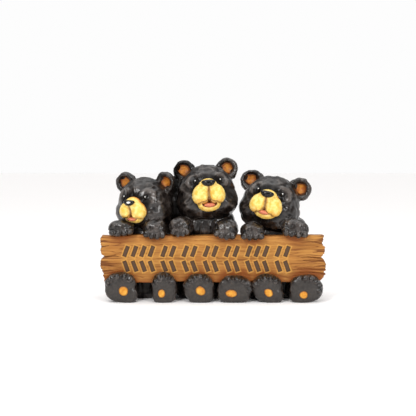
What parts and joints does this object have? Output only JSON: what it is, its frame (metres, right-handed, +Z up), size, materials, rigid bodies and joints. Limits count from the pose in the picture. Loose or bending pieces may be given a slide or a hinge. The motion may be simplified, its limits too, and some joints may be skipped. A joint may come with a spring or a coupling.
{
  "type": "cast bear group with sign plank",
  "caption": "Cast and painted ornament of seated black bears leaning over a rough plank sign with broken ends, paws on its top edge and soles in front.",
  "frame": {"origin": "on the ground plane under the middle bear, halfway along the plank", "axes": "+X along the plank to the viewer's right, -Y the way the bears look, +Z up"},
  "size_m": [0.36, 0.1266, 0.2261],
  "materials": {
    "bear_fur_paint": "hand-painted cast resin, brown-black wash dry-brushed with grey, satin",
    "muzzle_paint": "warm yellow paint shaded orange at its rim, satin",
    "ear_and_pad_paint": "orange-brown paint in the ears and on the sole pads, satin",
    "nose_and_eye_enamel": "gloss black enamel",
    "tongue_paint": "pink paint in a dark red mouth, satin",
    "plank_paint": "cast wood grain, golden brown with darker wash in the grain, satin"
  },
  "bodies": {
    "root": {"three_bears_with_plank": "bear_fur_paint"}
  },
  "joints": []
}
